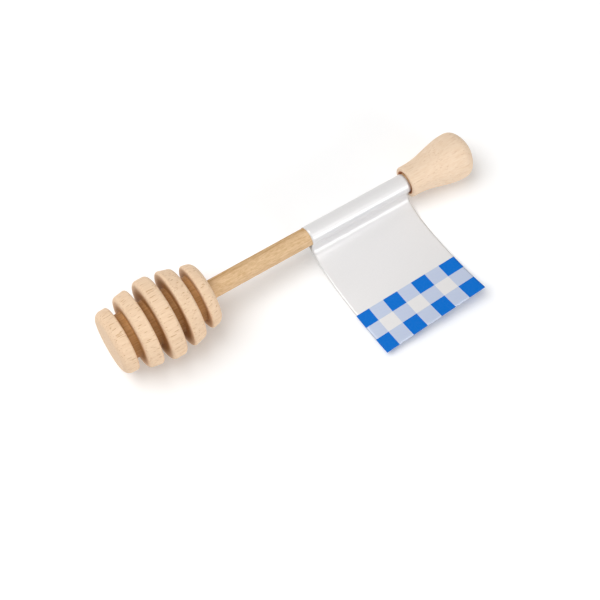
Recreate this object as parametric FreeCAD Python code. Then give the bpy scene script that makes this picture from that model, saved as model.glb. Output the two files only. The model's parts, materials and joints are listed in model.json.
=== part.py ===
"""Honey dipper: a grooved head and an end knob, both turned in beech, glued on a dowel, with a paper flag label.

Millimetres. The dipper lies on a table as it is put down: the widest disc of the head and the bulge of the knob
touch the table at z = 0, so its axis slopes down a little towards the knob. +X runs from the tip of the head
to the knob, +Z is up, and the label's flag lies towards -Y.
"""
import FreeCAD, Part
import math
import os

Vector = FreeCAD.Vector

# Dowel
ROD_DIAMETER = 7.0
ROD_BARE_LENGTH = 83.7
ROD_CHAMFER = 0.6

# Grooved head: five discs that follow a barrel, each with its share of the crown's diameter at the middle
# of its rim, and with the rise of that rim towards the knob
CROWN_DIAMETER = 30.6
DISC_WIDTHS = (5.4, 5.5, 5.9, 5.6, 4.7)
DISC_SHARES = (0.784, 0.918, 1.0, 0.917, 0.778)
DISC_RISE_DEGREES = (2.0, 9.0, 0.0, -15.0, -11.5)
GROOVE_WIDTH = 3.0
CORE_DIAMETER = 17.0
END_ROUND = 2.75
SOFT_ROUND = 1.6
CRISP_ROUND = 0.9
GROOVE_FLOOR_ROUND = 0.4
HEAD_SOCKET_DEPTH = 24.0

# End knob
KNOB_LENGTH = 27.4
KNOB_MOUTH_DIAMETER = 11.9
KNOB_NECK_LENGTH = 2.3
KNOB_BULGE_DIAMETER = 18.1
KNOB_BULGE_FROM_END = 5.9
KNOB_FLARE_PULL = 0.38
KNOB_SHOULDER_ROUND = 4.2
KNOB_PARTING_FLAT = 1.2
KNOB_MOUTH_ROUND = 0.5
KNOB_SOCKET_DEPTH = 15.0
KNOB_COUNTERSINK = 0.8

# Glue between the dowel and its two sockets, on the side and under the end
GLUE_FILM = 0.1

# Paper label: a loop round the dowel, and a flag of two leaves stuck together. The flag leaves the underside
# of the loop, slopes down to the table and lifts again, more steeply at the knob than at the head.
PAPER = 0.2
LABEL_WIDTH = 42.0
FLAG_LENGTH = 53.7
FLAG_SKEW = 3.2
HEAD_SIDE_SLOPE = 36.0
HEAD_SIDE_LIFT_RADIUS = 121.0
KNOB_SIDE_SLOPE = 45.0
KNOB_SIDE_LIFT_RADIUS = 93.0
LOOP_CLEARANCE = 0.1
ROOT_GAP = 0.15
END_GAP = 0.3
TABLE_GAP = 0.1

ROD_RADIUS = ROD_DIAMETER / 2
CROWN_RADIUS = CROWN_DIAMETER / 2
BULGE_RADIUS = KNOB_BULGE_DIAMETER / 2
SOCKET_RADIUS = ROD_RADIUS + GLUE_FILM

# Stations along the axis, from the flat of the tip
DISC_FRONTS = [sum(DISC_WIDTHS[:i]) + i * GROOVE_WIDTH for i in range(len(DISC_WIDTHS))]
DISC_REARS = [front + width for front, width in zip(DISC_FRONTS, DISC_WIDTHS)]
CROWN_DISC = len(DISC_WIDTHS) // 2
HEAD_END_X = DISC_REARS[-1]
KNOB_MOUTH_X = HEAD_END_X + ROD_BARE_LENGTH
KNOB_END_X = KNOB_MOUTH_X + KNOB_LENGTH
BULGE_X = KNOB_END_X - KNOB_BULGE_FROM_END
LABEL_END_X = KNOB_MOUTH_X - END_GAP
LABEL_START_X = LABEL_END_X - LABEL_WIDTH
# the askew flag is set back along the loop, so that it clears the knob as it turns round the dowel
FLAG_SET_BACK = BULGE_RADIUS * math.tan(math.radians(FLAG_SKEW))
LABEL_TRAVEL = ROD_BARE_LENGTH - LABEL_WIDTH - FLAG_SET_BACK - 2 * END_GAP

# How the dipper lies on the table: the table touches the crown disc's rear corner and the knob's shoulder
REST_X = DISC_REARS[CROWN_DISC] - SOFT_ROUND
REST_R = CROWN_RADIUS - SOFT_ROUND
REST_SPAN = BULGE_X - REST_X
REST_DROP = REST_R - (BULGE_RADIUS - KNOB_SHOULDER_ROUND)
TILT = math.atan2(REST_DROP, REST_SPAN) + math.asin(
    (SOFT_ROUND - KNOB_SHOULDER_ROUND) / math.hypot(REST_SPAN, REST_DROP))
TIP_HEIGHT = REST_X * math.sin(TILT) + REST_R * math.cos(TILT) + SOFT_ROUND


def at(x, r):
    """A point of a turned outline: x along the axis, r out from it."""
    return Vector(x, 0, r)


def turned(edges):
    """The solid that a closed outline in the XZ plane makes when it is turned about the X axis."""
    face = Part.Face(Part.Wire(edges))
    return face.revolve(Vector(0, 0, 0), Vector(1, 0, 0), 360)


def cylinder(radius, start, end):
    """A cylinder on the axis, between two stations."""
    return Part.makeCylinder(radius, end - start, Vector(start, 0, 0), Vector(1, 0, 0))


def line(a, b):
    return Part.LineSegment(a, b).toShape()


def corner(centre, a, b):
    """The arc from a to b about a centre that lies as far from both."""
    reach = (a - centre).Length
    middle = (a - centre) + (b - centre)
    return Part.Arc(a, centre + middle.normalize() * reach, b).toShape()


def polygon(points):
    """Straight edges through the points, in order."""
    return [line(a, b) for a, b in zip(points[:-1], points[1:])]


def disc_outline(start, end, radius, rise_degrees, front_round, rear_round):
    """Rim of one disc: rounded front corner, a straight rim that rises with the barrel, rounded rear corner."""
    rise = math.radians(rise_degrees)
    out = at(-math.sin(rise), math.cos(rise))

    def rounding(x, soft):
        """Corner centre, its end on the disc's face and its end on the rim, for the face at x."""
        inside = x + soft if x == start else x - soft
        rim_r = radius + (inside - (start + end) / 2) * math.tan(rise)
        centre = at(inside, rim_r - soft / math.cos(rise))
        return centre, at(x, centre.z), centre + out * soft

    front_centre, front_face, front_top = rounding(start, front_round)
    rear_centre, rear_face, rear_top = rounding(end, rear_round)
    return front_face, rear_face, [
        corner(front_centre, front_face, front_top),
        line(front_top, rear_top),
        corner(rear_centre, rear_top, rear_face),
    ]


def groove_outline(above_start, above_end):
    """Square groove with softened floor corners, from one disc's rear face to the next one's front face."""
    start, end, soft = above_start.x, above_end.x, GROOVE_FLOOR_ROUND
    floor, centre_r = CORE_DIAMETER / 2, CORE_DIAMETER / 2 + GROOVE_FLOOR_ROUND
    return [
        line(above_start, at(start, centre_r)),
        corner(at(start + soft, centre_r), at(start, centre_r), at(start + soft, floor)),
        line(at(start + soft, floor), at(end - soft, floor)),
        corner(at(end - soft, centre_r), at(end - soft, floor), at(end, centre_r)),
        line(at(end, centre_r), above_end),
    ]


def dipper_head():
    last = len(DISC_WIDTHS) - 1
    outline = []
    behind = at(0, 0)
    for i, (start, end) in enumerate(zip(DISC_FRONTS, DISC_REARS)):
        # edges that face away from the crown are worn rounder than those that face it
        front_round = END_ROUND if i == 0 else SOFT_ROUND if i <= CROWN_DISC else CRISP_ROUND
        rear_round = END_ROUND if i == last else SOFT_ROUND if i >= CROWN_DISC else CRISP_ROUND
        front_face, rear_face, rim = disc_outline(
            start, end, CROWN_RADIUS * DISC_SHARES[i], DISC_RISE_DEGREES[i], front_round, rear_round)
        outline += groove_outline(behind, front_face) if i else [line(behind, front_face)]
        outline += rim
        behind = rear_face
    socket_floor = HEAD_END_X - HEAD_SOCKET_DEPTH
    outline += polygon([
        behind,
        at(HEAD_END_X, SOCKET_RADIUS),
        at(socket_floor, SOCKET_RADIUS),
        at(socket_floor, 0),
        at(0, 0),
    ])
    return turned(outline)


def end_knob():
    mouth_r = KNOB_MOUTH_DIAMETER / 2
    neck_end = KNOB_MOUTH_X + KNOB_NECK_LENGTH
    pull = (BULGE_X - neck_end) * KNOB_FLARE_PULL
    flare = Part.BezierCurve()
    flare.setPoles([
        at(neck_end, mouth_r),
        at(neck_end + pull, mouth_r),
        at(BULGE_X - pull, BULGE_RADIUS),
        at(BULGE_X, BULGE_RADIUS),
    ])
    # the end is a tight shoulder that runs into a flatter dome with its centre on the axis
    shoulder = at(BULGE_X, BULGE_RADIUS - KNOB_SHOULDER_ROUND)
    dome_radius = (KNOB_BULGE_FROM_END ** 2 + shoulder.z ** 2 - KNOB_SHOULDER_ROUND ** 2) / (
        2 * (KNOB_BULGE_FROM_END - KNOB_SHOULDER_ROUND))
    dome = at(KNOB_END_X - dome_radius, 0)
    meet = dome + (shoulder - dome).normalize() * dome_radius
    flat_r = KNOB_PARTING_FLAT / 2
    end_flat = at(dome.x + math.sqrt(dome_radius ** 2 - flat_r ** 2), flat_r)
    soft, socket_floor = KNOB_MOUTH_ROUND, KNOB_MOUTH_X + KNOB_SOCKET_DEPTH
    mouth_face, mouth_side = at(KNOB_MOUTH_X, mouth_r - soft), at(KNOB_MOUTH_X + soft, mouth_r)
    countersink = at(KNOB_MOUTH_X, SOCKET_RADIUS + KNOB_COUNTERSINK)
    outline = [
        line(countersink, mouth_face),
        corner(at(mouth_side.x, mouth_face.z), mouth_face, mouth_side),
        line(mouth_side, at(neck_end, mouth_r)),
        flare.toShape(),
        corner(shoulder, at(BULGE_X, BULGE_RADIUS), meet),
        corner(dome, meet, end_flat),
    ]
    outline += polygon([
        end_flat,
        at(end_flat.x, 0),
        at(socket_floor, 0),
        at(socket_floor, SOCKET_RADIUS),
        at(KNOB_MOUTH_X + KNOB_COUNTERSINK, SOCKET_RADIUS),
        countersink,
    ])
    return turned(outline)


def handle_rod():
    start = HEAD_END_X - HEAD_SOCKET_DEPTH + GLUE_FILM
    end = KNOB_MOUTH_X + KNOB_SOCKET_DEPTH - GLUE_FILM
    return turned(polygon([
        at(start, 0),
        at(start, ROD_RADIUS - ROD_CHAMFER),
        at(start + ROD_CHAMFER, ROD_RADIUS),
        at(end - ROD_CHAMFER, ROD_RADIUS),
        at(end, ROD_RADIUS - ROD_CHAMFER),
        at(end, 0),
        at(start, 0),
    ]))


def glue_cup(start, end, rod):
    """The cured glue in a socket between two stations: what the dowel leaves of it."""
    return cylinder(SOCKET_RADIUS, start, end).cut(rod)


def label_loop():
    inner = ROD_RADIUS + LOOP_CLEARANCE
    outside = cylinder(inner + PAPER, LABEL_START_X, LABEL_END_X)
    return outside.cut(cylinder(inner, LABEL_START_X, LABEL_END_X))


def on_table(shape):
    """Tips a turned piece from the X axis to the way the dipper lies on the table."""
    turn = FreeCAD.Rotation(Vector(0, 1, 0), math.degrees(TILT))
    shape.Placement = FreeCAD.Placement(Vector(0, 0, TIP_HEIGHT), turn)
    return shape


def flag_section(x, slope_degrees, lift_radius):
    """One side edge of the flag: an arc down from the loop to the table, and a flatter arc up from it."""
    skew, slope = math.radians(FLAG_SKEW), math.radians(slope_degrees)
    axis = Vector(x * math.cos(TILT), 0, TIP_HEIGHT - x * math.sin(TILT))
    out = Vector(math.sin(skew), -math.cos(skew), 0)
    up = Vector(math.sin(TILT), 0, math.cos(TILT))
    root_r = ROD_RADIUS + LOOP_CLEARANCE + PAPER + ROOT_GAP + PAPER
    start = axis - out * (root_r * math.sin(slope)) - up * (root_r * math.cos(slope))
    drop = (start.z - PAPER - TABLE_GAP) / math.cos(TILT)
    fall_radius = drop / (1 - math.cos(slope))
    low = start + out * (fall_radius * math.sin(slope)) - up * drop
    lift = (FLAG_LENGTH - fall_radius * slope) / lift_radius

    def leaf(radius, offset, angle):
        """A point of one arc, offset from the sheet's middle; angles are counted from the lowest line."""
        reach = radius + offset
        return low + up * radius + out * (reach * math.sin(angle)) - up * (reach * math.cos(angle))

    def arc(radius, offset, start_angle, end_angle):
        angles = (start_angle, (start_angle + end_angle) / 2, end_angle)
        return Part.Arc(*[leaf(radius, offset, angle) for angle in angles]).toShape()

    return Part.Wire([
        arc(fall_radius, PAPER, -slope, 0),
        arc(lift_radius, PAPER, 0, lift),
        line(leaf(lift_radius, PAPER, lift), leaf(lift_radius, -PAPER, lift)),
        arc(lift_radius, -PAPER, lift, 0),
        arc(fall_radius, -PAPER, 0, -slope),
        line(leaf(fall_radius, -PAPER, -slope), leaf(fall_radius, PAPER, -slope)),
    ])


def label_flag():
    """The two leaves as one bent sheet that sits a little askew on the dowel."""
    head_side = flag_section(LABEL_START_X - FLAG_SET_BACK, HEAD_SIDE_SLOPE, HEAD_SIDE_LIFT_RADIUS)
    knob_side = flag_section(LABEL_END_X - FLAG_SET_BACK, KNOB_SIDE_SLOPE, KNOB_SIDE_LIFT_RADIUS)
    return Part.makeLoft([head_side, knob_side], True, True)


def main():
    rod = handle_rod()
    pieces = {
        "dipper_head": on_table(dipper_head()),
        "end_knob": on_table(end_knob()),
        "head_glue": on_table(glue_cup(HEAD_END_X - HEAD_SOCKET_DEPTH, HEAD_END_X, rod)),
        "knob_glue": on_table(glue_cup(
            KNOB_MOUTH_X + KNOB_COUNTERSINK, KNOB_MOUTH_X + KNOB_SOCKET_DEPTH, rod)),
        "label_loop": on_table(label_loop()),
        "label_flag": label_flag(),
    }
    pieces["handle_rod"] = on_table(rod)

    # origin under the middle of the whole dipper, on the table
    box = Part.Compound(list(pieces.values())).optimalBoundingBox()
    origin = Vector(box.Center.x, box.Center.y, box.ZMin)
    os.makedirs("parts", exist_ok=True)
    for name, shape in pieces.items():
        shape.translate(-origin)
        shape.exportStep("parts/" + name + ".step")

    tip = Vector(0, 0, TIP_HEIGHT) - origin
    print("tip centre", tip, "axis", math.cos(TILT), 0, -math.sin(TILT))
    print("free travel of the label", LABEL_TRAVEL)
    print("size", box.XLength, box.YLength, box.ZLength)


main()
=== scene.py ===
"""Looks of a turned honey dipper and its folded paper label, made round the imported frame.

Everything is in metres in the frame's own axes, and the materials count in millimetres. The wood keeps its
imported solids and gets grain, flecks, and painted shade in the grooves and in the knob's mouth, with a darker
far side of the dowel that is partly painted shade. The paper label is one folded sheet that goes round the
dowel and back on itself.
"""
import json
import math

import bmesh
import bpy
from bpy.props import FloatProperty, FloatVectorProperty, IntProperty, PointerProperty
from bpy.types import NodeSocket, Operator, Panel, PropertyGroup
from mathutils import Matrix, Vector


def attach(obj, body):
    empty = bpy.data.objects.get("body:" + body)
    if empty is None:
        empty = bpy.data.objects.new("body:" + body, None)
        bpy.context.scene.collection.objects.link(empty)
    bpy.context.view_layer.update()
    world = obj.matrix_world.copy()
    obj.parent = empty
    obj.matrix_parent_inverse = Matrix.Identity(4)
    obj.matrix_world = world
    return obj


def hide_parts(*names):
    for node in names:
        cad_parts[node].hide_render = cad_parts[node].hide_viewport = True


bl_info = {
    "name": "Honey Dipper",
    "version": (1, 0, 0),
    "blender": (4, 5, 0),
    "location": "View3D > Sidebar > Dipper",
    "description": "Finishes the wood of a honey dipper and folds its paper label",
    "category": "Object",
}

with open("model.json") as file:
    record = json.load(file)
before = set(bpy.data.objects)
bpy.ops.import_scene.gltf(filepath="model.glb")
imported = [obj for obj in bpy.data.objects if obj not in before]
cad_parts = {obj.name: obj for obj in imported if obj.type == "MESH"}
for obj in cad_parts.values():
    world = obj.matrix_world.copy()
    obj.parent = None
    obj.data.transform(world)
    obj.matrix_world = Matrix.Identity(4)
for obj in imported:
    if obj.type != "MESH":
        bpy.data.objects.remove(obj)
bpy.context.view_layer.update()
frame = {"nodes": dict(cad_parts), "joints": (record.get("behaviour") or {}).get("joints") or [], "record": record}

MM = 0.001

# The dipper's own axes: along it from the tip to the knob, out to the flag's side, and up from the dowel
JOINTS = {joint["name"]: joint for joint in frame["joints"]}
MOUNTS = {mount["name"]: mount for mount in frame["record"]["mounts"]}
ALONG = Vector(JOINTS["label_slide"]["axis"]).normalized()
OUT = Vector((0, -1, 0))
UP = OUT.cross(ALONG)
TIP = Vector(MOUNTS["tip_face"]["pos_m"])
TILT = math.atan2(-ALONG.z, ALONG.x)


def stations(node):
    """First and last station of a node along the axis, from the tip."""
    along = [(vertex.co - TIP).dot(ALONG) for vertex in frame["nodes"][node].data.vertices]
    return min(along), max(along)


def radii(node):
    """Least and greatest distance of a node's points from the axis."""
    away = [(vertex.co - TIP).cross(ALONG).length for vertex in frame["nodes"][node].data.vertices]
    return min(away), max(away)


HEAD_START, HEAD_END = stations("dipper_head")
LABEL_START, LABEL_END = stations("label_loop")
MOUTH_STATION = stations("end_knob")[0]
HEAD_RADIUS = radii("dipper_head")[1]
LOOP_INNER = radii("label_loop")[0]
HEAD_MIDDLE = TIP + ALONG * (HEAD_START + HEAD_END) / 2


class WoodSettings(PropertyGroup):
    """Colours and grain of the three turned pieces."""

    head_pale: FloatVectorProperty(
        name="Head Pale", description="Early wood of the head", subtype="COLOR", size=4,
        default=(0.89, 0.665, 0.465, 1.0), min=0.0, max=1.0)
    head_deep: FloatVectorProperty(
        name="Head Deep", description="Late wood of the head", subtype="COLOR", size=4,
        default=(0.79, 0.545, 0.345, 1.0), min=0.0, max=1.0)
    # Groove colours: turned, unsanded wood, darkened much further as painted shade in the recesses between the
    # discs
    groove_unsanded_and_shade_pale: FloatVectorProperty(
        name="Groove Pale", description="Early wood in the grooves, which are turned and not sanded",
        subtype="COLOR", size=4, default=(0.52, 0.275, 0.105, 1.0), min=0.0, max=1.0)
    groove_unsanded_and_shade_deep: FloatVectorProperty(
        name="Groove Deep", description="Late wood in the grooves", subtype="COLOR", size=4,
        default=(0.37, 0.175, 0.055, 1.0), min=0.0, max=1.0)
    knob_pale: FloatVectorProperty(
        name="Knob Pale", description="Early wood of the knob", subtype="COLOR", size=4,
        default=(0.9, 0.705, 0.527, 1.0), min=0.0, max=1.0)
    knob_deep: FloatVectorProperty(
        name="Knob Deep", description="Late wood of the knob", subtype="COLOR", size=4,
        default=(0.825, 0.605, 0.415, 1.0), min=0.0, max=1.0)
    dowel_pale: FloatVectorProperty(
        name="Dowel Pale", description="Light streaks of the dowel", subtype="COLOR", size=4,
        default=(0.77, 0.535, 0.315, 1.0), min=0.0, max=1.0)
    dowel_deep: FloatVectorProperty(
        name="Dowel Deep", description="Dark streaks of the dowel", subtype="COLOR", size=4,
        default=(0.52, 0.305, 0.12, 1.0), min=0.0, max=1.0)
    # Mouth colour: painted shade in the gap between the label's end and the knob's mouth, over the drilled wood
    # there
    mouth_shade_colour: FloatVectorProperty(
        name="Mouth", description="Drilled wood inside the knob's mouth", subtype="COLOR", size=4,
        default=(0.46, 0.19, 0.085, 1.0), min=0.0, max=1.0)
    fleck_colour: FloatVectorProperty(
        name="Fleck", description="Short tan flecks of beech", subtype="COLOR", size=4,
        default=(0.49, 0.245, 0.08, 1.0), min=0.0, max=1.0)
    fleck_length: FloatProperty(
        name="Fleck Length", description="Length of a fleck along the grain", unit="LENGTH",
        default=5.8 * MM, min=0.2 * MM, max=10 * MM)
    fleck_width: FloatProperty(
        name="Fleck Width", description="Width of a fleck across the grain", unit="LENGTH",
        default=0.32 * MM, min=0.02 * MM, max=2 * MM)
    ring_spacing: FloatProperty(
        name="Ring Spacing", description="Distance between growth rings", unit="LENGTH",
        default=2.6 * MM, min=0.3 * MM, max=20 * MM)


class GlueSettings(PropertyGroup):
    """Colours of the cured glue in the two sockets."""

    pale: FloatVectorProperty(
        name="Glue Pale", description="Clear patches of the glue", subtype="COLOR", size=4,
        default=(0.75, 0.63, 0.45, 1.0), min=0.0, max=1.0)
    deep: FloatVectorProperty(
        name="Glue Deep", description="Cloudy patches of the glue", subtype="COLOR", size=4,
        default=(0.62, 0.5, 0.33, 1.0), min=0.0, max=1.0)


class LabelSettings(PropertyGroup):
    """Size, bend and print of the folded paper label."""

    paper: FloatProperty(
        name="Paper", description="Thickness of the paper", unit="LENGTH", default=0.14 * MM, min=0.0)
    flag_length: FloatProperty(
        name="Flag Length", description="From the underside of the loop to the far edge", unit="LENGTH",
        default=53.7 * MM, min=0.0)
    skew: FloatProperty(
        name="Skew", description="How far the flag sits askew on the dowel", subtype="ANGLE",
        default=math.radians(3.2))
    head_slope: FloatProperty(
        name="Head Side Slope", description="Slope of the flag at the loop, at the head side",
        subtype="ANGLE", default=math.radians(36))
    knob_slope: FloatProperty(
        name="Knob Side Slope", description="Slope of the flag at the loop, at the knob side",
        subtype="ANGLE", default=math.radians(45))
    head_lift: FloatProperty(
        name="Head Side Lift", description="Radius of the far stretch, at the head side", unit="LENGTH",
        default=121 * MM, min=0.0)
    knob_lift: FloatProperty(
        name="Knob Side Lift", description="Radius of the far stretch, at the knob side", unit="LENGTH",
        default=93 * MM, min=0.0)
    table_gap: FloatProperty(
        name="Table Gap", description="Height of the flag's lowest line above the table", unit="LENGTH",
        default=0.2 * MM, min=0.0)
    crease: FloatProperty(
        name="Crease", description="Radius where the front leaf bends out from the loop", unit="LENGTH",
        default=4.0 * MM, min=0.0)
    white: FloatVectorProperty(
        name="Paper White", description="Bare paper", subtype="COLOR", size=4,
        default=(0.752, 0.737, 0.733, 1.0), min=0.0, max=1.0)
    light: FloatVectorProperty(
        name="Light Check", description="Pale checks of the gingham", subtype="COLOR", size=4,
        default=(0.43, 0.51, 0.695, 1.0), min=0.0, max=1.0)
    blue: FloatVectorProperty(
        name="Blue Check", description="Full checks of the gingham", subtype="COLOR", size=4,
        default=(0.0, 0.16, 0.63, 1.0), min=0.0, max=1.0)
    check_wide: FloatProperty(
        name="Check Width", description="Width of a check across the label", unit="LENGTH",
        default=6.0 * MM, min=0.5 * MM, max=30 * MM)
    check_deep: FloatProperty(
        name="Check Depth", description="Depth of a check along the flag", unit="LENGTH",
        default=5.79 * MM, min=0.5 * MM, max=30 * MM)
    first_check: FloatProperty(
        name="First Check", description="Width left of the first check at the head side", unit="LENGTH",
        default=5.3 * MM, min=0.0, max=30 * MM)
    edge_strip: FloatProperty(
        name="Edge Strip", description="Extra depth of the row at the far edge", unit="LENGTH",
        default=0.68 * MM, min=0.0, max=10 * MM)
    across: IntProperty(
        name="Across", description="Mesh steps across the label", default=48, min=4, max=400)
    steps: IntProperty(
        name="Steps", description="Mesh steps along each leaf and round the loop",
        default=60, min=30, max=400)
    bend_steps: IntProperty(
        name="Bend Steps", description="Mesh steps round the crease", default=10, min=6, max=30)


class StageSettings(PropertyGroup):
    """Camera, floor and lights."""

    camera_place: FloatVectorProperty(
        name="Camera Place", description="Camera from the point of the table under the middle of the head",
        subtype="TRANSLATION", unit="LENGTH", default=(-59.15 * MM, -185.7 * MM, 499.9 * MM))
    view: FloatVectorProperty(
        name="View", description="Direction in which the camera looks", subtype="DIRECTION",
        default=(0.1995, 0.3165, -0.9274))
    lens: FloatProperty(
        name="Lens", description="Focal length of the camera", unit="CAMERA", default=90.0, min=10.0)
    floor: FloatVectorProperty(
        name="Floor", description="Colour of the floor", subtype="COLOR", size=4,
        default=(0.97, 0.97, 0.97, 1.0), min=0.0, max=1.0)
    floor_glow: FloatProperty(
        name="Floor Glow", description="White that the camera sees on the floor besides its light",
        subtype="FACTOR", default=0.105, min=0.0, max=1.0)
    far_glow: FloatProperty(
        name="Far Glow", description="The same far from the dipper, where the lamps don't reach",
        subtype="FACTOR", default=0.67, min=0.0, max=1.0)
    ambient: FloatProperty(
        name="Ambient", description="Strength of the light from all round", subtype="FACTOR",
        default=0.34, min=0.0, max=1.0)
    key_place: FloatVectorProperty(
        name="Key Place", description="Place of the overhead lamp", subtype="TRANSLATION", unit="LENGTH",
        default=(-0.32, 0.17, 0.84))
    key_size: FloatProperty(
        name="Key Size", description="Side of the overhead lamp", unit="LENGTH", default=0.72, min=0.0)
    key_power: FloatProperty(
        name="Key Power", description="Power of the overhead lamp", subtype="POWER", unit="POWER",
        default=6.0, min=0.0)
    fill_place: FloatVectorProperty(
        name="Fill Place", description="Place of the low lamp on the flag's side", subtype="TRANSLATION",
        unit="LENGTH", default=(0.33, -0.88, 0.165))
    fill_size: FloatProperty(
        name="Fill Size", description="Side of the low lamp", unit="LENGTH", default=0.6, min=0.0)
    fill_power: FloatProperty(
        name="Fill Power", description="Power of the low lamp", subtype="POWER", unit="POWER",
        default=4.5, min=0.0)
    gloss_place: FloatVectorProperty(
        name="Gloss Place", description="Place of the small lamp that shines back from the paper's bends",
        subtype="TRANSLATION", unit="LENGTH", default=(0.19, -0.56, 0.73))
    gloss_size: FloatProperty(
        name="Gloss Size", description="Side of the small lamp", unit="LENGTH", default=0.28, min=0.0)
    gloss_power: FloatProperty(
        name="Gloss Power", description="Power of the small lamp", subtype="POWER", unit="POWER",
        default=1.1, min=0.0)


def give(tree, socket, value):
    """Links an output to a socket, or sets a plain value on it."""
    if isinstance(value, NodeSocket):
        tree.links.new(value, socket)
    else:
        socket.default_value = value


def add(tree, kind, inputs=None, **settings):
    """A new node with its settings, and its inputs linked or set by name or number."""
    node = tree.nodes.new(kind)
    for name, value in settings.items():
        setattr(node, name, value)
    for key, value in (inputs or {}).items():
        give(tree, node.inputs[key], value)
    return node


def calc(tree, operation, *values):
    """One step of arithmetic on single numbers."""
    return add(tree, "ShaderNodeMath", dict(enumerate(values)), operation=operation).outputs[0]


def vector_calc(tree, operation, first, second):
    """One step of arithmetic on two vectors, part by part."""
    return add(tree, "ShaderNodeVectorMath", {0: first, 1: second}, operation=operation).outputs[0]


def split(tree, vector):
    """The three parts of a vector, by the names X, Y and Z."""
    return add(tree, "ShaderNodeSeparateXYZ", {0: vector}).outputs


def distance(tree, first, second):
    """Length of a line with two given parts at right angles."""
    squares = [calc(tree, "POWER", part, 2.0) for part in (first, second)]
    return calc(tree, "SQRT", calc(tree, "ADD", *squares))


def blend(tree, factor, first, second):
    """Two colours mixed by a factor."""
    inputs = {"Factor": factor, 6: first, 7: second}
    return add(tree, "ShaderNodeMix", inputs, data_type="RGBA").outputs[2]


def ramp(tree, value, low, high, to_low=0.0, to_high=1.0, kind="SMOOTHSTEP"):
    """A step of a value from one level to another, smooth unless another kind is given."""
    inputs = {"Value": value, "From Min": low, "From Max": high, "To Min": to_low, "To Max": to_high}
    return add(tree, "ShaderNodeMapRange", inputs, interpolation_type=kind).outputs[0]


def noise(tree, vector, scale, detail, roughness=0.5):
    """A cloudy pattern, from nought to one."""
    inputs = {"Vector": vector, "Scale": scale, "Detail": detail, "Roughness": roughness}
    return add(tree, "ShaderNodeTexNoise", inputs).outputs[0]


def relief(tree, shader, height, strength, depth):
    """Fine bumps of a surface, from a height that changes over it."""
    inputs = {"Height": height, "Strength": strength, "Distance": depth}
    give(tree, shader.inputs["Normal"], add(tree, "ShaderNodeBump", inputs).outputs[0])


def new_group(name, inputs, outputs):
    """An empty shader node group, with the sockets inside it that give its inputs and take its outputs."""
    group = bpy.data.node_groups.new(name, "ShaderNodeTree")
    for socket, kind in inputs.items():
        group.interface.new_socket(socket, in_out="INPUT", socket_type=kind)
    for socket in outputs:
        group.interface.new_socket(socket, in_out="OUTPUT", socket_type="NodeSocketFloat")
    return group, group.nodes.new("NodeGroupInput").outputs, group.nodes.new("NodeGroupOutput").inputs


def new_material(name):
    """An empty material with a Principled BSDF, its tree and that shader."""
    material = bpy.data.materials.new(name)
    material.use_nodes = True
    return material, material.node_tree, material.node_tree.nodes["Principled BSDF"]


def axis_place(tree):
    """Place on a piece in millimetres in the dipper's own axes, from the tip, with x along the grain."""
    coords = add(tree, "ShaderNodeTexCoord").outputs["Object"]
    inputs = {"Vector": coords, "Location": TIP, "Rotation": (0, TILT, 0), "Scale": (MM, MM, MM)}
    return add(tree, "ShaderNodeMapping", inputs, vector_type="TEXTURE").outputs[0]


def dress(node, material):
    """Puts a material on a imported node."""
    mesh = frame["nodes"][node].data
    mesh.materials.clear()
    mesh.materials.append(material)


# Streaks and thin dark lines: how far each is drawn out along the grain, its noise, and its step in level
STREAK_STRETCH = (0.09, 1.0, 1.0)
STREAK_NOISE = (1.7, 5.0, 0.65)
LINE_STRETCH = (0.012, 1.0, 1.0)
LINE_NOISE = (2.4, 2.0)
LINE_STEP = (0.5, 0.66)

# Rings: where the pith lies round the dipper and how far off, how wavy they are, and how fast each fades
PITH_TURN = math.radians(40)
PITH_AWAY = 55.0
RING_STRETCH = (0.03, 0.12, 0.12)
RING_NOISE = (1.0, 2.0)
RING_WAVE = 5.0
RING_FADE = 2.2

# Flecks: the cell that each lies in, how they sway, how soft their rims are, and how they gather in patches
FLECK_CELL = (3.6, 0.75, 0.75)
SWAY_NOISE = (0.35, 1.0)
FLECK_SWAY = 0.6
FLECK_RIM = (0.3, 1.2)
PATCH_NOISE = (0.16, 2.0)
PATCH_STEP = (0.32, 0.68)
PATCH_SHARE = (0.4, 1.6)
FAINTEST_FLECK = 0.3


def beech_rings(tree, place, spacing):
    """Growth rings about a pith that lies well outside the piece, a little wavy."""
    wave = noise(tree, vector_calc(tree, "MULTIPLY", place, RING_STRETCH), *RING_NOISE)
    parts = split(tree, place)
    away = distance(tree, parts["Y"], calc(tree, "ADD", parts["Z"], PITH_AWAY))
    wavy = calc(tree, "ADD", away, calc(tree, "MULTIPLY", wave, RING_WAVE))
    return calc(tree, "POWER", calc(tree, "FRACT", calc(tree, "DIVIDE", wavy, spacing)), RING_FADE)


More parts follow.
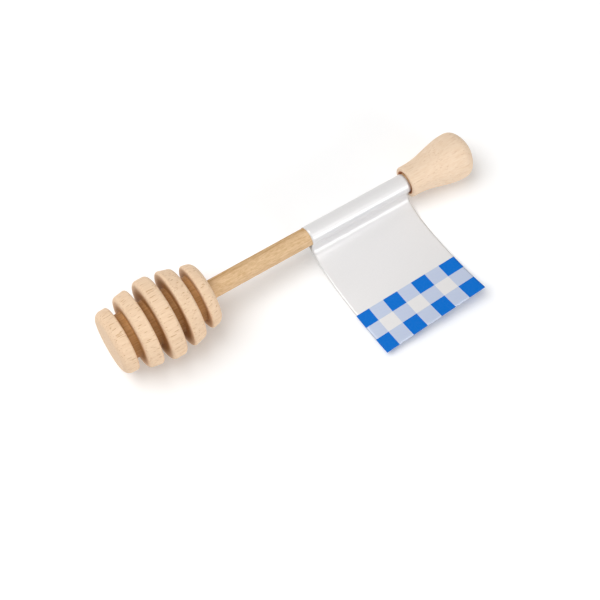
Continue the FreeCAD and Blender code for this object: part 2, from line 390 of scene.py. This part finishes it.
def beech_flecks(tree, place, length, width, share):
    """One short spindle in each long cell, kept in a share of the cells that changes from place to place."""
    drift = calc(tree, "MULTIPLY", noise(tree, place, *SWAY_NOISE), FLECK_SWAY)
    sideways = add(tree, "ShaderNodeCombineXYZ", {"Y": drift, "Z": drift}).outputs[0]
    swayed = vector_calc(tree, "ADD", place, sideways)
    in_cells = vector_calc(tree, "MULTIPLY", swayed, tuple(1 / side for side in FLECK_CELL))
    cells = add(tree, "ShaderNodeTexVoronoi", {"Vector": in_cells, "Scale": 1.0},
                voronoi_dimensions="3D", feature="F1").outputs
    offset = vector_calc(tree, "SUBTRACT", in_cells, cells["Position"])
    parts = split(tree, vector_calc(tree, "MULTIPLY", offset, tuple(2 * side for side in FLECK_CELL)))
    long = calc(tree, "POWER", calc(tree, "DIVIDE", parts["X"], length), 2.0)
    wide = [calc(tree, "POWER", calc(tree, "DIVIDE", parts[side], width), 2.0) for side in "YZ"]
    spindle = ramp(tree, calc(tree, "ADD", long, calc(tree, "ADD", *wide)), *FLECK_RIM, 1.0, 0.0)
    chance = add(tree, "ShaderNodeSeparateColor", {0: cells["Color"]}).outputs
    patchy = ramp(tree, noise(tree, place, *PATCH_NOISE), *PATCH_STEP, *PATCH_SHARE)
    kept = calc(tree, "LESS_THAN", chance["Red"], calc(tree, "MULTIPLY", share, patchy))
    strength = calc(tree, "MULTIPLY_ADD", chance["Green"], 1.0 - FAINTEST_FLECK, FAINTEST_FLECK)
    return calc(tree, "MULTIPLY", calc(tree, "MULTIPLY", spindle, kept), strength)


def beech_grain():
    """Node group: rings, streaks, fine lines and flecks of beech, from a place in millimetres."""
    group, given, made = new_group("Beech Grain", {
        "Place": "NodeSocketVector",
        "Ring Spacing": "NodeSocketFloat",
        "Fleck Length": "NodeSocketFloat",
        "Fleck Width": "NodeSocketFloat",
        "Fleck Share": "NodeSocketFloat",
    }, ["Rings", "Streaks", "Lines", "Flecks"])
    place = add(group, "ShaderNodeVectorRotate", {"Vector": given["Place"], "Angle": PITH_TURN},
                rotation_type="X_AXIS").outputs[0]
    streaked = noise(group, vector_calc(group, "MULTIPLY", place, STREAK_STRETCH), *STREAK_NOISE)
    lined = noise(group, vector_calc(group, "MULTIPLY", place, LINE_STRETCH), *LINE_NOISE)
    flecked = beech_flecks(group, place, given["Fleck Length"], given["Fleck Width"], given["Fleck Share"])
    give(group, made["Rings"], beech_rings(group, place, given["Ring Spacing"]))
    give(group, made["Streaks"], streaked)
    give(group, made["Lines"], ramp(group, lined, *LINE_STEP))
    give(group, made["Flecks"], flecked)
    return group


# How strongly each turned piece shows the grain, and how much finer than the head's it is along and across; also
# the grain lines in the head's groove shade, the knob's painted mouth shade and the dowel's darker far side
HEAD_LOOK = {
    "scale": (1.0, 1.0, 1.0), "flecks": 0.85, "fleck_tint": 0.75, "ring_part": 0.2, "streak_part": 0.55,
    "line_part": 0.15, "groove_lines": 0.5,
}
KNOB_LOOK = {
    "scale": (1.8, 1.1, 1.1), "flecks": 0.6, "fleck_tint": 0.4, "ring_part": 0.2, "streak_part": 0.75,
    "line_part": 0.1, "shaded_mouth": True,
}
DOWEL_LOOK = {
    "scale": (3.0, 1.25, 1.25), "flecks": 0.9, "fleck_tint": 0.5, "ring_part": 0.1, "streak_part": 0.45,
    "line_part": 0.15, "far_streak_and_shade_part": 0.3, "far_streak_and_shade_lines": 0.7,
}

# Bare wood's contrast, dullness and relief
STREAK_STEP = (0.35, 0.7)
DULL_STEP = (0.2, 0.8)
WOOD_ROUGHNESS = (0.55, 0.72)
WOOD_SPECULAR = 0.25
GRAIN_STRENGTH = 0.25
GRAIN_RELIEF = 0.04 * MM

# The head's barrel in millimetres: the station of its widest line, and how it falls off from there
CROWN_STATION = 19.85
BARREL_BEND = 0.0121

# Where the grooves' unsanded tone and painted shade set in, in millimetres: below the barrel and from the ends of
# the head
GROOVE_SHADE_SHOULDER = (0.8, 4.6)
END_SHADE_SHOULDER = (1.5, 3.0)

# The same for the painted shade of the knob's mouth, from the axis and along it, and for the far side of the
# dowel, darker partly as a streak and partly as painted shade
MOUTH_SHADE_RIM = (4.5, 4.75)
MOUTH_SHADE_FLOOR = (1.0, 2.0)
FAR_SIDE_STREAK_AND_SHADE = (0.5, 1.6)


def groove_shade_mask(tree, place):
    """Nought on the rims and the two ends of the head, one well inside the grooves, where the wood gets its
    unsanded tone and painted shade.
    """
    parts = split(tree, place)
    away = distance(tree, parts["Y"], parts["Z"])
    from_crown = calc(tree, "SUBTRACT", parts["X"], CROWN_STATION)
    barrel = calc(tree, "MULTIPLY_ADD", calc(tree, "POWER", from_crown, 2.0), -BARREL_BEND, HEAD_RADIUS / MM)
    depth = ramp(tree, calc(tree, "SUBTRACT", barrel, away), *GROOVE_SHADE_SHOULDER)
    front = ramp(tree, parts["X"], *END_SHADE_SHOULDER)
    rear = ramp(tree, calc(tree, "SUBTRACT", HEAD_END / MM, parts["X"]), *END_SHADE_SHOULDER)
    return calc(tree, "MULTIPLY", depth, calc(tree, "MULTIPLY", front, rear))


def mouth_shade_mask(tree, place):
    """One on the countersink of the knob's mouth, nought on the rest of the knob: where the mouth gets painted
    shade.
    """
    parts = split(tree, place)
    near_axis = ramp(tree, distance(tree, parts["Y"], parts["Z"]), *MOUTH_SHADE_RIM, 1.0, 0.0)
    inside = calc(tree, "SUBTRACT", parts["X"], MOUTH_STATION / MM)
    return calc(tree, "MULTIPLY", near_axis, ramp(tree, inside, *MOUTH_SHADE_FLOOR, 1.0, 0.0))


def far_side_streak_and_shade(tree, place):
    """One on the side of the dowel away from the flag, nought on the side of the flag: where the dowel is darker,
    partly as a dark streak and partly as painted shade.
    """
    return ramp(tree, split(tree, place)["Y"], *FAR_SIDE_STREAK_AND_SHADE)


def wood(name, grain, settings, tones, look):
    """Bare wood: rings, streaks and lines between two colours, with flecks over them, painted shade in the grooves
    and the knob's mouth, and a darker far side of the dowel that is partly painted shade.
    """
    material, tree, shader = new_material(name)
    place = axis_place(tree)
    made = add(tree, "ShaderNodeGroup", {
        "Place": vector_calc(tree, "MULTIPLY", place, look["scale"]),
        "Ring Spacing": settings.ring_spacing / MM,
        "Fleck Length": settings.fleck_length / MM,
        "Fleck Width": settings.fleck_width / MM,
        "Fleck Share": look["flecks"],
    }, node_tree=grain).outputs
    rings, streaks, lines, flecks = (made[key] for key in ("Rings", "Streaks", "Lines", "Flecks"))
    depth = calc(tree, "MULTIPLY", rings, look["ring_part"])
    depth = calc(tree, "MULTIPLY_ADD", ramp(tree, streaks, *STREAK_STEP), look["streak_part"], depth)
    depth = calc(tree, "MULTIPLY_ADD", lines, look["line_part"], depth)
    # Dowel's far side: darker, partly a dark streak and partly painted shade
    if "far_streak_and_shade_part" in look:
        lined = calc(tree, "MULTIPLY_ADD", lines, look["far_streak_and_shade_lines"], look["far_streak_and_shade_part"])
        depth = calc(tree, "MULTIPLY_ADD", far_side_streak_and_shade(tree, place), lined, depth)
    colour = blend(tree, calc(tree, "MINIMUM", depth, 1.0), *tones)
    # Grooves: unsanded wood darkened further as painted shade, with grain lines through it
    if "groove_lines" in look:
        lined = calc(tree, "MULTIPLY_ADD", lines, look["groove_lines"], depth)
        cut = blend(tree, calc(tree, "MINIMUM", lined, 1.0), settings.groove_unsanded_and_shade_pale, settings.groove_unsanded_and_shade_deep)
        colour = blend(tree, groove_shade_mask(tree, place), colour, cut)
    colour = blend(tree, calc(tree, "MULTIPLY", flecks, look["fleck_tint"]), colour, settings.fleck_colour)
    # Knob's mouth: painted shade in the gap at the label's end
    if "shaded_mouth" in look:
        colour = blend(tree, mouth_shade_mask(tree, place), colour, settings.mouth_shade_colour)
    give(tree, shader.inputs["Base Color"], colour)
    give(tree, shader.inputs["Roughness"], ramp(tree, streaks, *DULL_STEP, *WOOD_ROUGHNESS))
    relief(tree, shader, calc(tree, "SUBTRACT", streaks, flecks), GRAIN_STRENGTH, GRAIN_RELIEF)
    shader.inputs["Specular IOR Level"].default_value = WOOD_SPECULAR
    return material


class DIPPER_OT_wood(Operator):
    """Give the head, the dowel and the knob their wood"""

    bl_idname = "dipper.wood"
    bl_label = "Finish Wood"

    def execute(self, context):
        settings = context.scene.dipper_wood
        grain = beech_grain()
        head = (settings.head_pale, settings.head_deep)
        knob = (settings.knob_pale, settings.knob_deep)
        dowel = (settings.dowel_pale, settings.dowel_deep)
        dress("dipper_head", wood("Beech Head", grain, settings, head, HEAD_LOOK))
        dress("end_knob", wood("Beech Knob", grain, settings, knob, KNOB_LOOK))
        dress("handle_rod", wood("Dowel Wood", grain, settings, dowel, DOWEL_LOOK))
        return {"FINISHED"}


# Cured glue: how cloudy it is, and how that dulls it
CLOUD_NOISE = (0.6, 3.0)
CLOUD_STEP = (0.3, 0.7)
GLUE_ROUGHNESS = (0.35, 0.55)


def cured_glue(settings):
    """Cloudy cured glue, seen only as a line at the sockets."""
    material, tree, shader = new_material("Cured Glue")
    cloud = noise(tree, axis_place(tree), *CLOUD_NOISE)
    give(tree, shader.inputs["Base Color"], blend(tree, cloud, settings.deep, settings.pale))
    give(tree, shader.inputs["Roughness"], ramp(tree, cloud, *CLOUD_STEP, *GLUE_ROUGHNESS))
    return material


class DIPPER_OT_glue(Operator):
    """Give the two sockets their cured glue"""

    bl_idname = "dipper.glue"
    bl_label = "Finish Glue"

    def execute(self, context):
        glue = cured_glue(context.scene.dipper_glue)
        dress("head_glue", glue)
        dress("knob_glue", glue)
        return {"FINISHED"}


# Rounds of the search for the crease, and of easing the bends beside it
HALVINGS = 60
EASE_ROUNDS = 16


def flag_line(settings, station, slope, lift, root_radius):
    """The flag's middle line at one side: the axis, the way out, and a function of length from the root."""
    out = OUT * math.cos(settings.skew) + Vector((1, 0, 0)) * math.sin(settings.skew)
    axis = TIP + ALONG * station
    start = axis - out * root_radius * math.sin(slope) - UP * root_radius * math.cos(slope)
    drop = (start.z - settings.paper - settings.table_gap) / UP.z
    fall = drop / (1 - math.cos(slope))
    low = start + out * fall * math.sin(slope) - UP * drop

    def at(length):
        """Place and normal of the line, which falls to the table on one arc and lifts again on another."""
        if length < fall * slope:
            radius, turn = fall, length / fall - slope
        else:
            radius, turn = lift, (length - fall * slope) / lift
        normal = UP * math.cos(turn) - out * math.sin(turn)
        return low + UP * radius - normal * radius, normal

    return axis, out, at


def ease(points, first, last):
    """Evens out sudden changes of bend between two points of a line, most in the middle of that stretch."""
    stretch = range(first, last)
    for _ in range(EASE_ROUNDS):
        before = list(points)
        for i in stretch:
            share = math.sin(math.pi * (i - first) / len(stretch)) ** 2 / 2
            points[i] = before[i].lerp((before[i - 1] + before[i + 1]) / 2, share)


def side_edge(settings, station, slope, lift):
    """Points of the whole sheet at one side: front leaf, crease, loop and back leaf."""
    steps, bend_steps = settings.steps, settings.bend_steps
    flag, crease = settings.flag_length, settings.crease
    half = settings.paper / 2
    loop = LOOP_INNER + half
    axis, out, at = flag_line(settings, station, slope, lift, loop + half)

    def crease_gap(length):
        """Gap between the loop and a crease that leaves the flag at a length from the root."""
        place, normal = at(length)
        return (place + normal * (half + crease) - axis).length - loop - crease

    def on_circle(middle, radius, turn):
        """Point of a circle square to the dowel."""
        return middle + (out * math.cos(turn) + UP * math.sin(turn)) * radius

    # where the crease leaves the flag so that it just meets the loop
    low, high = 0.0, flag / 2
    for _ in range(HALVINGS):
        middle = (low + high) / 2
        if crease_gap(middle) < 0:
            low = middle
        else:
            high = middle
    place, foot = at(high)
    centre = place + foot * (half + crease)

    # front leaf, from the far edge to the crease
    points = []
    for i in range(steps):
        place, normal = at(flag + (high - flag) * i / steps)
        points.append(place + normal * half)

    # crease, from the leaf to the loop
    away = (axis - centre).normalized()
    leave = math.atan2(-foot.dot(UP), -foot.dot(out))
    meet = math.atan2(away.dot(UP), away.dot(out))
    if meet > leave:
        meet -= 2 * math.pi
    for i in range(bend_steps):
        points.append(on_circle(centre, crease, leave + (meet - leave) * i / bend_steps))

    # loop, over the dowel and down to the root of the back leaf
    first = meet + math.pi
    while first > math.pi / 2:
        first -= 2 * math.pi
    last = 1.5 * math.pi - slope
    for i in range(steps):
        points.append(on_circle(axis, loop, first + (last - first) * i / steps))

    # back leaf, from the root to the far edge
    for i in range(steps + 1):
        place, normal = at(flag * i / steps)
        points.append(place - normal * half)

    ease(points, steps - bend_steps, steps + 2 * bend_steps)
    return points


def lengths_along(points):
    """Running length of a line through points."""
    run = [0.0]
    for a, b in zip(points[:-1], points[1:]):
        run.append(run[-1] + (b - a).length)
    return run


# UV map that holds each point's place on the flat sheet
FLAT_MAP = "Flat Sheet"


def label_mesh(settings):
    """The folded sheet as a strip of quads, with its flat place as the UV map, and its length."""
    head_side = side_edge(settings, LABEL_START, settings.head_slope, settings.head_lift)
    knob_side = side_edge(settings, LABEL_END, settings.knob_slope, settings.knob_lift)
    across = settings.across
    run = lengths_along([(a + b) / 2 for a, b in zip(head_side, knob_side)])
    mesh = bmesh.new()
    flat = mesh.loops.layers.uv.new(FLAT_MAP)
    rows = []
    for a, b in zip(head_side, knob_side):
        rows.append([mesh.verts.new(a.lerp(b, i / across)) for i in range(across + 1)])
    for j in range(len(rows) - 1):
        for i in range(across):
            corners = ((i, j), (i + 1, j), (i + 1, j + 1), (i, j + 1))
            face = mesh.faces.new([rows[v][u] for u, v in corners])
            face.smooth = True
            for corner, (u, v) in zip(face.loops, corners):
                corner[flat].uv = (u / across, run[v] / run[-1])
    data = bpy.data.meshes.new("paper_label")
    mesh.to_mesh(data)
    mesh.free()
    return data, run[-1]


# Gingham: the rows of its band, and where the count of checks stops, as the last one runs on to the edge
BAND_ROWS = 3.0
LAST_CHECK = 6.5

# Pale checks are fine slanting lines: their pitch in millimetres, and how far the paper shows between them
HATCH_PITCH = 0.8
HATCH_PART = 0.16

# Full checks let a trace of the paper's fibre through
INK_STEP = (0.35, 0.7)
INK_PART = 0.02

# Coated paper: its fibre, how far that shades and dulls it, and the gloss of the coat
FIBRE_NOISE = (1.3, 4.0, 0.6)
FIBRE_STEP = (0.3, 0.7)
FIBRE_SHADE = 0.985
FIBRE_STRENGTH = 0.05
FIBRE_RELIEF = 0.02 * MM
PAPER_ROUGHNESS = (0.5, 0.58)
PAPER_SPECULAR = 0.08
COAT_ROUGHNESS = 0.28
COAT_IOR = 2.0

# Share of the paper's thickness that the sheet gets, so that its two leaves don't touch
LEAF_SHARE = 0.9


def gingham(tree, settings, parts, length):
    """Two on full checks, one on pale checks and nought on bare paper, from a place on the flat sheet."""
    from_edge = calc(tree, "MINIMUM", parts["Y"], calc(tree, "SUBTRACT", length / MM, parts["Y"]))
    past_strip = calc(tree, "SUBTRACT", from_edge, settings.edge_strip / MM)
    row = calc(tree, "MAXIMUM", calc(tree, "DIVIDE", past_strip, settings.check_deep / MM), 0.0)
    cut_off = (settings.check_wide - settings.first_check) / MM
    column = calc(tree, "DIVIDE", calc(tree, "ADD", parts["X"], cut_off), settings.check_wide / MM)

    def inked(count):
        """One in every other row or column, from the first."""
        return calc(tree, "SUBTRACT", 1.0, calc(tree, "MODULO", calc(tree, "FLOOR", count), 2.0))

    checks = calc(tree, "ADD", inked(row), inked(calc(tree, "MINIMUM", column, LAST_CHECK)))
    return calc(tree, "MULTIPLY", checks, calc(tree, "LESS_THAN", row, BAND_ROWS))


def label_paper(settings, width, length):
    """Smooth coated paper with a band of blue gingham along both far edges."""
    material, tree, shader = new_material("Label Paper")
    flat = add(tree, "ShaderNodeUVMap", uv_map=FLAT_MAP).outputs[0]
    place = vector_calc(tree, "MULTIPLY", flat, (width / MM, length / MM, 1.0))
    parts = split(tree, place)
    tint = gingham(tree, settings, parts, length)
    is_full = calc(tree, "GREATER_THAN", tint, 1.5)
    is_printed = calc(tree, "GREATER_THAN", tint, 0.5)
    fibre = noise(tree, place, *FIBRE_NOISE)
    shaded = tuple(FIBRE_SHADE * part for part in settings.white[:3]) + (1.0,)
    bare = blend(tree, ramp(tree, fibre, *FIBRE_STEP), settings.white, shaded)
    slant = calc(tree, "ADD", parts["X"], parts["Y"])
    hatch = calc(tree, "SINE", calc(tree, "MULTIPLY", slant, 2 * math.pi / HATCH_PITCH))
    pale = blend(tree, ramp(tree, hatch, -1.0, 1.0, 0.0, HATCH_PART), settings.light, settings.white)
    full = blend(tree, ramp(tree, fibre, *INK_STEP, 0.0, INK_PART), settings.blue, settings.light)
    colour = blend(tree, is_full, blend(tree, is_printed, bare, pale), full)
    give(tree, shader.inputs["Base Color"], colour)
    give(tree, shader.inputs["Roughness"], ramp(tree, fibre, *FIBRE_STEP, *PAPER_ROUGHNESS))
    give(tree, shader.inputs["Coat Weight"], calc(tree, "SUBTRACT", 1.0, is_full))
    relief(tree, shader, fibre, FIBRE_STRENGTH, FIBRE_RELIEF)
    shader.inputs["Coat Roughness"].default_value = COAT_ROUGHNESS
    shader.inputs["Coat IOR"].default_value = COAT_IOR
    shader.inputs["Specular IOR Level"].default_value = PAPER_SPECULAR
    return material


class DIPPER_OT_label(Operator):
    """Fold the paper label round the dowel"""

    bl_idname = "dipper.label"
    bl_label = "Fold Label"

    def execute(self, context):
        settings = context.scene.dipper_label
        data, length = label_mesh(settings)
        width = LABEL_END - LABEL_START
        label = bpy.data.objects.new("paper_label", data)
        context.scene.collection.objects.link(label)
        data.materials.append(label_paper(settings, width, length))
        leaf = label.modifiers.new("Paper", "SOLIDIFY")
        leaf.thickness = settings.paper * LEAF_SHARE
        leaf.offset = 0.0
        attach(label, "label_flag")
        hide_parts("label_loop", "label_flag")
        return {"FINISHED"}


# Width of the camera's sensor in millimetres
SENSOR = 36.0

# The floor: half its side, and how dull it is
FLOOR_HALF = 3.0
FLOOR_ROUGHNESS = 0.9
FLOOR_SPECULAR = 0.1

# Distances from the origin between which the floor's glow rises
GLOW_REACH = (0.04, 1.0)


def area_light(name, place, size, power, shine_only=False):
    """A soft lamp that looks at the origin, or one that shows only in reflections."""
    light = bpy.data.lights.new(name, "AREA")
    light.shape = "SQUARE"
    light.size = size
    light.energy = power
    lamp = bpy.data.objects.new(name, light)
    lamp.visible_diffuse = not shine_only
    lamp.location = place
    lamp.rotation_mode = "QUATERNION"
    lamp.rotation_quaternion = (-Vector(place)).to_track_quat("-Z", "Y")
    bpy.context.scene.collection.objects.link(lamp)


def seen_rays(tree):
    """One where the camera, a reflection or glass looks, and nought where light bounces."""
    rays = add(tree, "ShaderNodeLightPath").outputs
    mirror = calc(tree, "MAXIMUM", rays["Is Glossy Ray"], rays["Is Transmission Ray"])
    return calc(tree, "MAXIMUM", rays["Is Camera Ray"], mirror)


def stage_floor(settings):
    """A plain pale floor at the height of the table."""
    data = bpy.data.meshes.new("floor")
    corners = [(x * FLOOR_HALF, y * FLOOR_HALF, 0) for x, y in ((-1, -1), (1, -1), (1, 1), (-1, 1))]
    data.from_pydata(corners, [], [(0, 1, 2, 3)])
    floor = bpy.data.objects.new("floor", data)
    bpy.context.scene.collection.objects.link(floor)
    material, tree, shader = new_material("Pale Floor")
    shader.inputs["Base Color"].default_value = settings.floor
    shader.inputs["Roughness"].default_value = FLOOR_ROUGHNESS
    shader.inputs["Specular IOR Level"].default_value = FLOOR_SPECULAR
    place = add(tree, "ShaderNodeNewGeometry").outputs["Position"]
    away = add(tree, "ShaderNodeVectorMath", {0: place}, operation="LENGTH").outputs["Value"]
    white = ramp(tree, away, *GLOW_REACH, settings.floor_glow, settings.far_glow, kind="LINEAR")
    glow = add(tree, "ShaderNodeEmission", {"Strength": calc(tree, "MULTIPLY", seen_rays(tree), white)})
    both = add(tree, "ShaderNodeAddShader", {0: shader.outputs[0], 1: glow.outputs[0]})
    give(tree, tree.nodes["Material Output"].inputs["Surface"], both.outputs[0])
    data.materials.append(material)


def stage_world(settings):
    """Even light from all round, seen as plain white."""
    world = bpy.data.worlds.new("Studio")
    bpy.context.scene.world = world
    world.use_nodes = True
    tree = world.node_tree
    seen = calc(tree, "MULTIPLY_ADD", seen_rays(tree), 1.0 - settings.ambient, settings.ambient)
    background = tree.nodes["Background"]
    background.inputs["Color"].default_value = (1, 1, 1, 1)
    give(tree, background.inputs["Strength"], seen)


def stage_camera(settings):
    """The camera at the photograph's viewing angle."""
    camera = bpy.data.objects.new("camera", bpy.data.cameras.new("camera"))
    camera.data.lens = settings.lens
    camera.data.sensor_width = SENSOR
    foot = Vector((HEAD_MIDDLE.x, HEAD_MIDDLE.y, 0))
    camera.location = foot + Vector(settings.camera_place)
    camera.rotation_mode = "QUATERNION"
    camera.rotation_quaternion = Vector(settings.view).to_track_quat("-Z", "Y")
    bpy.context.scene.collection.objects.link(camera)
    bpy.context.scene.camera = camera


class DIPPER_OT_stage(Operator):
    """Set up the camera, the floor and the studio light"""

    bl_idname = "dipper.stage"
    bl_label = "Set Stage"

    def execute(self, context):
        settings = context.scene.dipper_stage
        context.scene.view_settings.view_transform = "Standard"
        stage_camera(settings)
        stage_floor(settings)
        stage_world(settings)
        area_light("key", settings.key_place, settings.key_size, settings.key_power)
        area_light("fill", settings.fill_place, settings.fill_size, settings.fill_power)
        area_light("gloss", settings.gloss_place, settings.gloss_size, settings.gloss_power, shine_only=True)
        return {"FINISHED"}


class DIPPER_PT_panel(Panel):
    """Sidebar panel that lists the dipper's pieces and the stage"""

    bl_idname = "DIPPER_PT_panel"
    bl_label = "Honey Dipper"
    bl_space_type = "VIEW_3D"
    bl_region_type = "UI"
    bl_category = "Dipper"

    def draw(self, context):
        for operator, name, _ in SECTIONS:
            box = self.layout.box()
            box.operator(operator.bl_idname)
            settings = getattr(context.scene, name)
            for key in settings.bl_rna.properties.keys():
                if key not in ("rna_type", "name"):
                    box.prop(settings, key)


# Each operator with the name and the kind of its settings, in the order of the panel
SECTIONS = [
    (DIPPER_OT_stage, "dipper_stage", StageSettings),
    (DIPPER_OT_wood, "dipper_wood", WoodSettings),
    (DIPPER_OT_glue, "dipper_glue", GlueSettings),
    (DIPPER_OT_label, "dipper_label", LabelSettings),
]


def register():
    """Adds the settings, the operators and the panel to Blender."""
    for operator, name, settings in SECTIONS:
        bpy.utils.register_class(settings)
        bpy.utils.register_class(operator)
        setattr(bpy.types.Scene, name, PointerProperty(type=settings))
    bpy.utils.register_class(DIPPER_PT_panel)


def unregister():
    """Takes them out again."""
    bpy.utils.unregister_class(DIPPER_PT_panel)
    for operator, name, settings in reversed(SECTIONS):
        delattr(bpy.types.Scene, name)
        bpy.utils.unregister_class(operator)
        bpy.utils.unregister_class(settings)


def main():
    """Makes the looks of the whole dipper on its stage."""
    register()
    bpy.ops.dipper.stage()
    bpy.ops.dipper.wood()
    bpy.ops.dipper.glue()
    bpy.ops.dipper.label()


if __name__ == "__main__":
    main()
